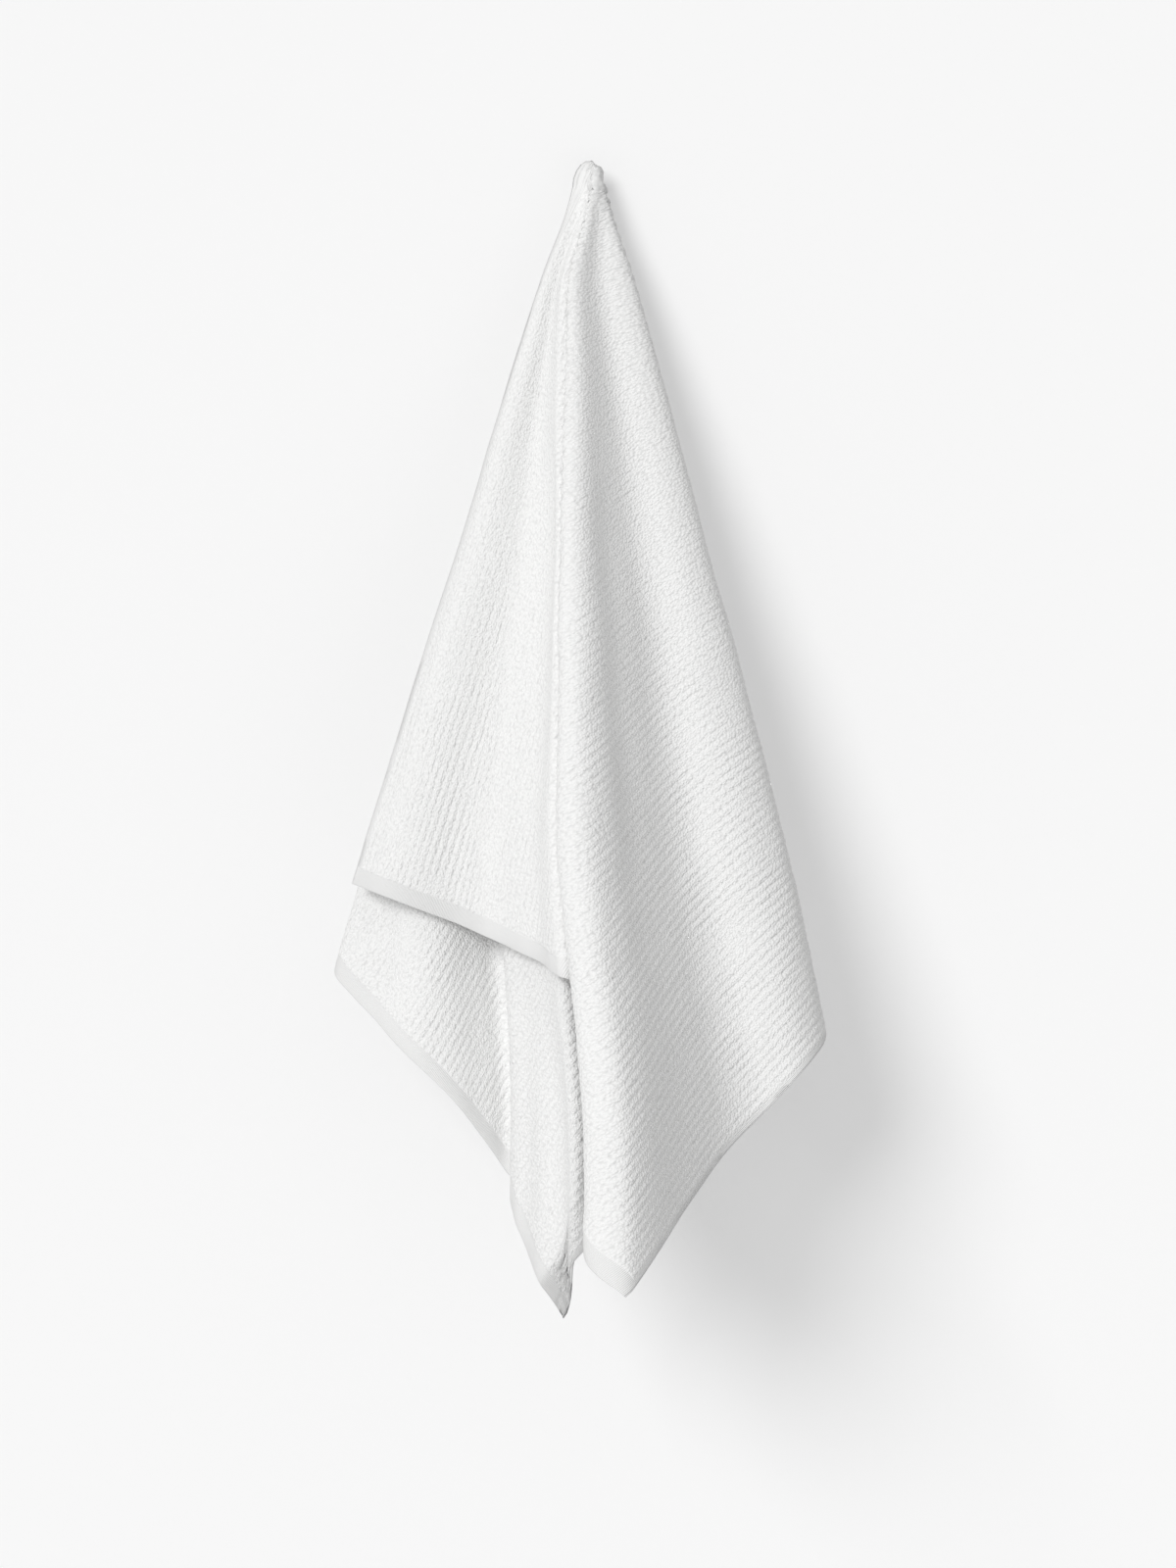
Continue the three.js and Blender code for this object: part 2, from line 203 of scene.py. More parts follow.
@dataclass
class Drape:
    """How the flat cloth hangs: a folded fan of straight lines from the hang point, with soft creases.

    The lines meet at an apex above the hang point. The top is a small dome over a waist, the back
    corner sags, and the strip along the far side of that corner curls backwards.
    """

    cloth: FlatCloth
    apex_height: float = 30.0
    dome_start: float = 12.0
    dome_top: float = 6.5
    nearest: float = 0.8
    waist: float = 0.14
    waist_place: float = 24.0
    waist_spread: float = 26.0
    squeeze: float = 0.0085
    squeeze_rise: float = 6.0
    squeeze_least: float = 0.15
    swing_start: float = 350.0
    swing_end: float = 620.0
    tuck_rise: tuple[float, float] = (80.0, 260.0)
    shift_start: float = 80.0
    shift_fade: tuple[float, float] = (380.0, 590.0)
    curl_strip: float = 34.0
    curl_bend: float = 8.0
    curl_turn: float = 64.0
    curl_depth: float = 1.5
    curl_lean: float = -0.1
    curl_start: float = 365.0
    curl_end: float = 440.0
    sag: float = 9.0
    sag_spread: tuple[float, float] = (3.0, 8.0)
    sag_rise: tuple[float, float] = (520.0, 690.0)
    crease_rise: float = 90.0
    crease_fade: float = 60.0
    wave_rise: tuple[float, float] = (60.0, 260.0)
    waves: tuple[Wave, ...] = (Wave(75, 60, 1.1, 40, 9, 3), Wave(22, 17, 0.35, 60, 31, 4))
    folds: list[Fold] = field(default_factory=list)
    creases: list[Crease] = field(default_factory=list)

    def __post_init__(self) -> None:
        """Fills in the folds and creases, from the front half of the hung side round to its back half."""
        front_corner = math.degrees(math.atan2(self.cloth.width, self.cloth.to_front_hem))
        back_corner = self.back_corner()
        self.folds = [
            Fold(0, -17.3, 0, 0),
            Fold(5.3, -13.6, 3.2, 3.2, shift=-4),
            Fold(11.6, -7.8, 1.7, 3.2, shift=-8),
            Fold(15.6, -4.9, 4.2, 2.8, shift=-11),
            Fold(20.2, -2.4, 7.9, 2.0, shift=-14),
            Fold(21.7, -1.8, 9.2, 0.7, shift=-14),
            Fold(22.9, -1.0, 10.1, 0.6, shift=-14),
            Fold(23.9, -0.4, 9.4, 0.5, shift=-14),
            Fold(33.3, 3.3, 1.3, 0.8, shift=-12),
            Fold(34.9, 4.8, 1.3, 0.8, shift=-12),
            Fold(42.8, 2.0, 8.1, 1.0, shift=-14),
            Fold(44.9, 0.65, 9.7, 0.9, swing=0.3, shift=-14, tuck=-0.75),
            Fold(46.2, 0.0, 10.8, 0.7, swing=0.4, shift=-14, tuck=-0.85),
            Fold(47.2, 0.45, 11.7, 0.8, swing=0.5, shift=-14, tuck=-0.55),
            Fold(front_corner, 1.2, 12.0, 1.2, swing=0.5, shift=-14),
            Fold(50.0, 2.9, 10.9, 1.9, shift=-13),
            Fold(54.3, 5.2, 7.2, 2.5, shift=-11),
            Fold(58.3, 7.6, 4.2, 3.4, shift=-10),
            Fold(61.2, 10.0, 3.4, 2.6, shift=-9),
            Fold(64.8, 12.7, 4.1, 2.8, swing=-0.3, shift=-5),
            Fold(68.4, 15.1, 2.0, 1.7, swing=-0.9),
            Fold(71.1, 15.1, -0.6, 1.3, swing=-0.9),
            Fold(73, 14.0, -2.4, 0.9, swing=-0.5),
            Fold(78.4, 11.2, 0.8, 0.9, shift=-5),
            Fold(80.2, 9.5, 0.8, 0.9, shift=-5),
            Fold(88.8, 9.4, -6.9, 0.9, shift=-5),
            Fold(90.6, 7.9, -6.9, 0.9, shift=-5),
            Fold(97.4, 7.8, -0.4, 1.1, shift=-6),
            Fold(99.6, 6.0, -1.2, 1.1, shift=-6),
            Fold(105.4, 6.0, -6.9, 0.9, shift=-6),
            Fold(107.2, 4.3, -6.9, 0.9, shift=-6),
            Fold(112.2, 4.2, -2.2, 0.9, shift=-6),
            Fold(114, 2.8, -2.2, 0.9, shift=-6),
            Fold(115.5, 2.8, -3.6, 0.8, shift=-6),
            Fold(117.1, 1.4, -3.6, 0.8, shift=-7),
            Fold(127.6, -0.85, 6.2, 0.6, swing=1.4, advance=1.4, shift=-12),
            Fold(129.0, -1.65, 6.6, 0.6, swing=0.7, advance=2.9, shift=-12),
            Fold(back_corner, -3.5, 4.4, 1.6, swing=2.3, advance=2.6, shift=-9),
            Fold(135.0, -5.0, 2.5, 1.2, swing=2.2, advance=2.5, shift=-7),
            Fold(138.0, -6.8, 0.4, 0.4, swing=2.5, advance=2.3, shift=-5),
            Fold(138.9, -6.6, -0.9, 0.4, swing=2.5, advance=2.6, shift=-5),
            Fold(146.2, -12.8, 1.0, 3.0, swing=4.1, advance=1.8, shift=-2),
            Fold(154.6, -17.1, -2.2, 1.1),
            Fold(157, -16.2, -4.3, 0.9),
            Fold(168, -6.2, -7.6, 4),
            Fold(180, 5.2, -9.2, 0),
        ]
        self.creases = [
            Crease(3.2, 60, 430, 9, 1.6),
            Crease(12.0, 150, 540, 18, 2.5),
            Crease(19.4, 150, 560, 14, -3.5),
            Crease(53.0, 140, 420, 10, -1.4),
            Crease(59.5, 180, 520, 9, -0.9, drift=1.5),
            Crease(62.2, 260, 620, 8, 1.3),
            Crease(23.0, 90, 560, 4, 3.0),
            Crease(45.4, 90, 560, 4, 2.5),
            Crease(134.0, 500, 650, 12, -4.5),
            Crease(136.9, 400, 640, 6, -2.2),
            Crease(139.7, 400, 640, 9, 4.5),
            Crease(147.0, 400, 660, 20, -4.0),
            Crease(141.3, 400, 660, 18, 3.5),
            Crease(150.5, 300, 560, 10, 1.6),
            Crease(162.0, 120, 470, 14, 3.0),
            Crease(172.0, 150, 470, 12, -2.5),
        ]

    def back_corner(self) -> float:
        """Flat angle of the corner that hangs lowest behind, in degrees."""
        return 180 - math.degrees(math.atan2(self.cloth.width, self.cloth.to_back_hem))

    def hang(self, flat: np.ndarray, distance: np.ndarray) -> np.ndarray:
        """Across and forward angle and shift of the cloth's lines, rounded at the folds.

        Args:
            flat: Flat angle of each point, in degrees.
            distance: Distance of each point from the hang point, in millimetres.

        Returns:
            Across and forward angles in degrees and shifts in millimetres, a row to each point.
        """
        flats = np.array([fold.flat for fold in self.folds])
        share = smoothstep(distance, self.swing_start, self.swing_end)
        closed = smoothstep(distance, *self.tuck_rise)

        def row(index: int) -> np.ndarray:
            """One fold's angles and shift at every point's distance.

            Args:
                index: Place of the fold in the list.

            Returns:
                Across and forward angles and shift, a row to each point.
            """
            fold = self.folds[index]
            across = fold.across + fold.swing * share + fold.tuck * closed
            forward = fold.forward + fold.advance * share
            return np.stack([across, forward, np.full_like(share, fold.shift)], -1)

        angles = np.zeros((len(flat), 3))
        for index in range(1, len(flats)):
            span = flats[index] - flats[index - 1]
            inside = (flat >= flats[index - 1]) & (flat <= flats[index])
            along = ((flat - flats[index - 1]) / span)[inside, None]
            angles[inside] = row(index - 1)[inside] * (1 - along) + row(index)[inside] * along
        for index in range(1, len(flats) - 1):
            before = flats[index] - flats[index - 1]
            after = flats[index + 1] - flats[index]
            reach = min(self.folds[index].rounding, before / 2, after / 2)
            inside = np.abs(flat - flats[index]) < reach
            here = row(index)[inside]
            start = here + (row(index - 1)[inside] - here) * reach / before
            end = here + (row(index + 1)[inside] - here) * reach / after
            along = ((flat[inside] - flats[index] + reach) / (2 * reach))[:, None]
            angles[inside] = (
                (1 - along) ** 2 * start + 2 * along * (1 - along) * here + along**2 * end
            )
        return angles

    def fan(self, flat: np.ndarray, distance: np.ndarray) -> np.ndarray:
        """Places points on the plain fan, with the rounded top over the hang point.

        Args:
            flat: Flat angle of each point, in degrees.
            distance: Distance of each point from the hang point, in millimetres.

        Returns:
            The points in millimetres, a row to each.
        """
        hung = self.hang(flat, distance)
        angles = np.radians(hung[:, :2])
        lines = np.stack([np.tan(angles[:, 0]), -np.tan(angles[:, 1]), -np.ones(len(flat))], -1)
        lines /= np.linalg.norm(lines, axis=1)[:, None]
        held = np.maximum(distance, self.dome_start)
        bias = 1 - smoothstep(np.abs(flat - self.back_corner()), *self.sag_spread)
        held = held + self.sag * bias * smoothstep(distance, *self.sag_rise)
        points = lines * (held + self.apex_height)[:, None]
        points[:, 2] += self.apex_height
        high = smoothstep(held, 0, self.shift_start) * (1 - smoothstep(held, *self.shift_fade))
        points[:, 0] += hung[:, 2] * high
        waist = 1 - self.waist * np.exp(-(((held - self.waist_place) / self.waist_spread) ** 2))
        turn = np.clip(distance / self.dome_start, 0.0, 1.0) * math.pi / 2
        points[:, :2] *= (waist * np.sin(turn))[:, None]
        points[:, 2] = points[:, 2] * (1 - np.cos(turn)) + self.dome_top * np.cos(turn)
        return points

    def curl(self, flat: np.ndarray, distance: np.ndarray) -> tuple[np.ndarray, np.ndarray]:
        """How the strip at the back corner turns backwards along its side.

        Args:
            flat: Flat angle of each point, in degrees.
            distance: Distance of each point from the hang point, in millimetres.

        Returns:
            How far each point moves in from the side and how far it moves backwards.
        """
        along = -distance * np.cos(np.radians(flat))
        across = distance * np.sin(np.radians(flat))
        strip = np.maximum(across - (self.cloth.width - self.curl_strip), 0.0)
        turn = np.radians(self.curl_turn) * smoothstep(along, self.curl_start, self.curl_end)
        turn = np.maximum(turn, 1e-4)
        bend = self.curl_bend / turn
        bent = np.minimum(strip, self.curl_bend)
        straight = strip - bent
        reach = bend * np.sin(bent / bend) + straight * np.cos(turn)
        depth = bend * (1 - np.cos(bent / bend)) + straight * np.sin(turn)
        return self.curl_lean * (strip - reach), self.curl_depth * depth

    def relief(self, flat: np.ndarray, distance: np.ndarray) -> np.ndarray:
        """Height of the soft creases and of the cloth's own unevenness, along its normal.

        Args:
            flat: Flat angle of each point, in degrees.
            distance: Distance of each point from the hang point, in millimetres.

        Returns:
            The height at each point, in millimetres.
        """
        height = np.zeros(len(flat))
        for crease in self.creases:
            middle = crease.flat + crease.drift * (distance - crease.start) / (crease.end - crease.start)
            offset = np.radians(flat - middle) * distance
            fade = smoothstep(distance, crease.start, crease.start + self.crease_rise)
            fade = fade * (
                1 - smoothstep(distance, crease.end - self.crease_fade, crease.end + self.crease_fade)
            )
            height += crease.height * fade * np.exp(-((offset / crease.width) ** 2))
        risen = smoothstep(distance, *self.wave_rise)
        along = distance * np.cos(np.radians(flat))
        across = distance * np.sin(np.radians(flat))
        for wave in self.waves:
            place_along = along / wave.along + wave.start_along
            place_across = across / wave.across + wave.start_across
            height += risen * wave.height * soft_noise(place_along, place_across, wave.seed)
        return height

    def surface(self, flat: np.ndarray, distance: np.ndarray) -> tuple[np.ndarray, np.ndarray]:
        """Middle of the cloth's thickness and its outward normal.

        Args:
            flat: Flat angle of each point, in degrees.
            distance: Distance of each point from the hang point, in millimetres.

        Returns:
            The points and the unit normals, a row to each point.
        """
        turn, step = 0.02, 0.5
        distance = np.maximum(distance, self.nearest)
        low, high = np.maximum(flat - turn, 0.0), np.minimum(flat + turn, 180.0)
        sideways = self.fan(high, distance) - self.fan(low, distance)
        downwards = self.fan(flat, distance + step) - self.fan(flat, distance - step)
        normals = np.cross(downwards, sideways)
        normals /= np.linalg.norm(normals, axis=1)[:, None]
        points = self.fan(flat, distance) + normals * self.relief(flat, distance)[:, None]
        inward, backward = self.curl(flat, distance)
        points[:, 0] -= inward
        points[:, 1] += backward
        points[:, 2] += inward
        return points, normals

    def settle(self, along: np.ndarray, across: np.ndarray, lift: np.ndarray) -> np.ndarray:
        """Hangs points of the flat cloth.

        Args:
            along: Place along the ribs, towards the hem that hangs behind, in millimetres.
            across: Distance from the hung side, in millimetres.
            lift: Height above the middle of the thickness, in millimetres; negative on the inner face.

        Returns:
            The hung points in metres, a row to each point.
        """
        distance = np.hypot(along, across)
        flat = np.degrees(np.arctan2(across, -along))
        flat = np.clip(flat, 0.0, 180.0)
        points, normals = self.surface(flat, distance)
        near_top = np.clip(distance / self.squeeze_rise + self.squeeze_least, 0, 1)
        room = self.squeeze * (distance + self.apex_height) * near_top
        lift = np.sign(lift) * np.minimum(np.abs(lift), room)
        return (points + normals * lift[:, None]) * MM


class Modelling:
    """Small helpers round Blender's own operators."""

    @staticmethod
    def only(piece: bpy.types.Object) -> None:
        """Selects one object and makes it active.

        Args:
            piece: The object to select.
        """
        bpy.ops.object.select_all(action="DESELECT")
        piece.select_set(True)
        bpy.context.view_layer.objects.active = piece

    @staticmethod
    def apply(piece: bpy.types.Object, kind: str, **settings: object) -> None:
        """Adds one modifier with its settings and applies it.

        Args:
            piece: The object to change.
            kind: Blender's name of the modifier's type.
            settings: The modifier's properties by name.
        """
        Modelling.only(piece)
        modifier = piece.modifiers.new(kind.title(), kind)
        for name, value in settings.items():
            setattr(modifier, name, value)
        bpy.ops.object.modifier_apply(modifier=modifier.name)

    @staticmethod
    def points(mesh: bpy.types.Mesh) -> np.ndarray:
        """Reads a mesh's points.

        Args:
            mesh: The mesh to read.

        Returns:
            The points, a row to each.
        """
        points = np.zeros(len(mesh.vertices) * 3)
        mesh.vertices.foreach_get("co", points)
        return points.reshape(-1, 3)

    @staticmethod
    def move(mesh: bpy.types.Mesh, points: np.ndarray) -> None:
        """Writes a mesh's points.

        Args:
            mesh: The mesh to change.
            points: The new points, a row to each.
        """
        mesh.vertices.foreach_set("co", points.ravel())
        mesh.update()


class Nodes:
    """Short ways to add shader nodes to one tree."""

    def __init__(self, tree: bpy.types.NodeTree) -> None:
        """Keeps the tree that the nodes go to."""
        self.tree = tree

    def add(self, kind: str, **settings: object) -> bpy.types.Node:
        """Adds one node.

        Args:
            kind: Blender's name of the node's type.
            settings: The node's properties by name.

        Returns:
            The new node.
        """
        node = self.tree.nodes.new(kind)
        for name, value in settings.items():
            setattr(node, name, value)
        return node

    def feed(self, socket: bpy.types.NodeSocket, value: object) -> None:
        """Links a socket into another one, or writes a plain value to it.

        Args:
            socket: The socket that takes the value.
            value: An output socket or a plain value.
        """
        if isinstance(value, bpy.types.NodeSocket):
            self.tree.links.new(value, socket)
        else:
            socket.default_value = value

    def math(self, operation: str, *values: object) -> bpy.types.NodeSocket:
        """Adds one step of arithmetic.

        Args:
            operation: Blender's name of the operation.
            values: The sockets or numbers that it takes, in order.

        Returns:
            The result's socket.
        """
        node = self.add("ShaderNodeMath", operation=operation)
        for socket, value in zip(node.inputs, values):
            self.feed(socket, value)
        return node.outputs[0]

    def ramp(self, value: object, low: float, high: float) -> bpy.types.NodeSocket:
        """Adds a smooth rise from 0 at low to 1 at high.

        Args:
            value: The socket to read.
            low: The value where the rise starts.
            high: The value where it ends.

        Returns:
            The result's socket.
        """
        node = self.add("ShaderNodeMapRange", interpolation_type="SMOOTHSTEP")
        self.feed(node.inputs["Value"], value)
        node.inputs["From Min"].default_value = low
        node.inputs["From Max"].default_value = high
        return node.outputs["Result"]

    def mix(self, kind: str, socket_kind: str, share: object, pair: tuple) -> bpy.types.NodeSocket:
        """Adds a mix of two values of one kind.

        Args:
            kind: The mix node's data type.
            socket_kind: The type of the sockets that it then uses.
            share: How much of the second value is taken, a socket or a number.
            pair: The two values, sockets or plain.

        Returns:
            The result's socket.
        """
        node = self.add("ShaderNodeMix", data_type=kind)
        self.feed(node.inputs["Factor"], share)
        for name, value in zip(("A", "B"), pair):
            socket = next(one for one in node.inputs if one.name == name and one.type == socket_kind)
            self.feed(socket, value)
        return next(one for one in node.outputs if one.type == socket_kind)

    def blend(self, share: object, first: object, second: object) -> bpy.types.NodeSocket:
        """Mixes two numbers, from the first at 0 to the second at 1."""
        return self.mix("FLOAT", "VALUE", share, (first, second))

    def tint(self, share: object, first: object, second: object) -> bpy.types.NodeSocket:
        """Mixes two colours, from the first at 0 to the second at 1."""
        pair = tuple((*one, 1) if isinstance(one, tuple) else one for one in (first, second))
        return self.mix("RGBA", "RGBA", share, pair)


@dataclass(frozen=True)
class Weave:
    """The sockets that the parts of the cloth's material share."""

    place: bpy.types.NodeSocket
    along: bpy.types.NodeSocket
    across: bpy.types.NodeSocket
    looped: bpy.types.NodeSocket


@dataclass(frozen=True)
class TerryFinish:
    """White looped cotton: its colours, with painted shade in the hollows between the loops, its softness
    and how deep its loops look, in millimetres.
    """

    pile: tuple[float, float, float] = (0.87, 0.87, 0.865)
    # Painted shade: this darker colour and its rise stand for the shade that falls in the hollows between
    # the loops.
    painted_hollow_shade: tuple[float, float, float] = (0.77, 0.77, 0.765)
    painted_hollow_shade_rise: tuple[float, float] = (0.2, 0.9)
    roughness: float = 0.92
    sheen: float = 0.15
    sheen_roughness: float = 0.5
    shine: float = 0.15
    loop_length: float = 1.9
    loop_width: float = 1.4
    loop_depth: float = 0.6
    loop_softness: float = 0.5
    fuzz_scale: float = 1.6
    fuzz_depth: float = 0.35
    noise_detail: float = 2.0
    rib_depth: float = 0.4
    rib_least: float = 0.15
    patch_scale: float = 28.0
    patch_rise: tuple[float, float] = (0.25, 0.6)
    band: tuple[float, float, float] = (0.82, 0.82, 0.815)
    band_rise: float = 1.2
    side_rise: tuple[float, float] = (-0.5, 0.7)
    weave_pitch: float = 0.95
    weave_depth: float = 0.12

    def weave(self, nodes: Nodes, cloth: FlatCloth) -> Weave:
        """Reads the flat map and finds where the cloth has loops.

        Args:
            nodes: The material's nodes.
            cloth: The flat cloth that the map is drawn on.

        Returns:
            The place on the map, its two parts in millimetres, and 1 on loops and 0 on the flat edges.
        """
        place = nodes.add("ShaderNodeUVMap", uv_map="flat").outputs["UV"]
        parts = nodes.add("ShaderNodeSeparateXYZ")
        nodes.feed(parts.inputs[0], place)
        along = nodes.math("MULTIPLY", parts.outputs[0], 1 / MM)
        across = nodes.math("MULTIPLY", parts.outputs[1], 1 / MM)
        to_hem = nodes.math(
            "MINIMUM",
            nodes.math("ADD", along, cloth.to_front_hem),
            nodes.math("SUBTRACT", cloth.to_back_hem, along),
        )
        to_side = nodes.math("MINIMUM", across, nodes.math("SUBTRACT", cloth.width, across))
        off_hem = nodes.ramp(to_hem, cloth.hem, cloth.hem + self.band_rise)
        off_side = nodes.ramp(to_side, *[cloth.selvedge + edge for edge in self.side_rise])
        return Weave(place, along, across, nodes.math("MULTIPLY", off_hem, off_side))

    def loops(self, nodes: Nodes, weave: Weave) -> tuple[bpy.types.NodeSocket, bpy.types.NodeSocket]:
        """Adds the pattern of single loops.

        Args:
            nodes: The material's nodes.
            weave: The sockets from the flat map.

        Returns:
            The distance from each loop's middle, and the fuzz over the loops.
        """
        stretched = nodes.add("ShaderNodeMapping")
        stretched.inputs["Scale"].default_value = (1 / MM / self.loop_length, 1 / MM / self.loop_width, 1)
        nodes.feed(stretched.inputs["Vector"], weave.place)
        cells = nodes.add("ShaderNodeTexVoronoi", voronoi_dimensions="2D", feature="SMOOTH_F1")
        cells.inputs["Scale"].default_value = 1.0
        cells.inputs["Smoothness"].default_value = self.loop_softness
        nodes.feed(cells.inputs["Vector"], stretched.outputs["Vector"])
        fuzz = self.noise(nodes, stretched.outputs["Vector"], self.fuzz_scale)
        return cells.outputs["Distance"], fuzz

    def noise(self, nodes: Nodes, place: bpy.types.NodeSocket, scale: float) -> bpy.types.NodeSocket:
        """Adds soft noise on a flat place.

        Args:
            nodes: The material's nodes.
            place: The place to read it at.
            scale: The bumps to one unit of the place.

        Returns:
            The noise's socket.
        """
        noise = nodes.add("ShaderNodeTexNoise", noise_dimensions="2D")
        noise.inputs["Scale"].default_value = scale
        noise.inputs["Detail"].default_value = self.noise_detail
        nodes.feed(noise.inputs["Vector"], place)
        return noise.outputs["Fac"]

    def ribs(self, nodes: Nodes, weave: Weave, cloth: FlatCloth) -> bpy.types.NodeSocket:
        """Adds the ribs of pile, uneven, and faint towards the top.

        Args:
            nodes: The material's nodes.
            weave: The sockets from the flat map.
            cloth: The flat cloth that the map is drawn on.

        Returns:
            The ribs' height, in millimetres.
        """
        start = nodes.math("SUBTRACT", weave.across, cloth.selvedge)
        phase = nodes.math("MULTIPLY", nodes.math("DIVIDE", start, cloth.rib_pitch()), math.pi)
        rib = nodes.math("ABSOLUTE", nodes.math("SINE", phase))
        reach = nodes.add("ShaderNodeVectorMath", operation="LENGTH")
        nodes.feed(reach.inputs[0], weave.place)
        low_down = nodes.ramp(reach.outputs["Value"], *[edge * MM for edge in cloth.rib_fade])
        patchy = nodes.ramp(self.noise(nodes, weave.place, self.patch_scale), *self.patch_rise)
        strength = nodes.math("MULTIPLY", patchy, self.rib_depth)
        share = nodes.math("MULTIPLY_ADD", low_down, 1 - self.rib_least, self.rib_least)
        return nodes.math("MULTIPLY", rib, nodes.math("MULTIPLY", strength, share))

    def material(self, cloth: FlatCloth) -> bpy.types.Material:
        """Makes the cloth's material from its flat map.

        Args:
            cloth: The flat cloth that the map is drawn on.

        Returns:
            The finished material.
        """
        made = bpy.data.materials.new("white_terry")
        made.use_nodes = True
        nodes = Nodes(made.node_tree)
        shader = made.node_tree.nodes["Principled BSDF"]
        shader.inputs["Roughness"].default_value = self.roughness
        shader.inputs["Sheen Weight"].default_value = self.sheen
        shader.inputs["Sheen Roughness"].default_value = self.sheen_roughness
        shader.inputs["Specular IOR Level"].default_value = self.shine
        weave = self.weave(nodes, cloth)
        from_loop, fuzz = self.loops(nodes, weave)
        height = self.ribs(nodes, weave, cloth)
        height = nodes.math("ADD", height, nodes.math("MULTIPLY", fuzz, self.fuzz_depth))
        height = nodes.math("SUBTRACT", height, nodes.math("MULTIPLY", from_loop, self.loop_depth))
        threads = nodes.math("SINE", nodes.math("MULTIPLY", weave.across, 2 * math.pi / self.weave_pitch))
        threads = nodes.math("MULTIPLY", threads, self.weave_depth)
        bump = nodes.add("ShaderNodeBump")
        bump.inputs["Strength"].default_value = 1.0
        bump.inputs["Distance"].default_value = MM
        nodes.feed(bump.inputs["Height"], nodes.blend(weave.looped, threads, height))
        nodes.feed(shader.inputs["Normal"], bump.outputs["Normal"])
        # Painted shade: the colour darkens from each loop's middle into the hollows between loops, where
        # the pile shades itself; none on the flat edges.
        depth = nodes.math("MULTIPLY", nodes.ramp(from_loop, *self.painted_hollow_shade_rise), weave.looped)
        tone = nodes.tint(depth, self.pile, self.painted_hollow_shade)
        nodes.feed(shader.inputs["Base Color"], nodes.tint(weave.looped, self.band, tone))
        return made


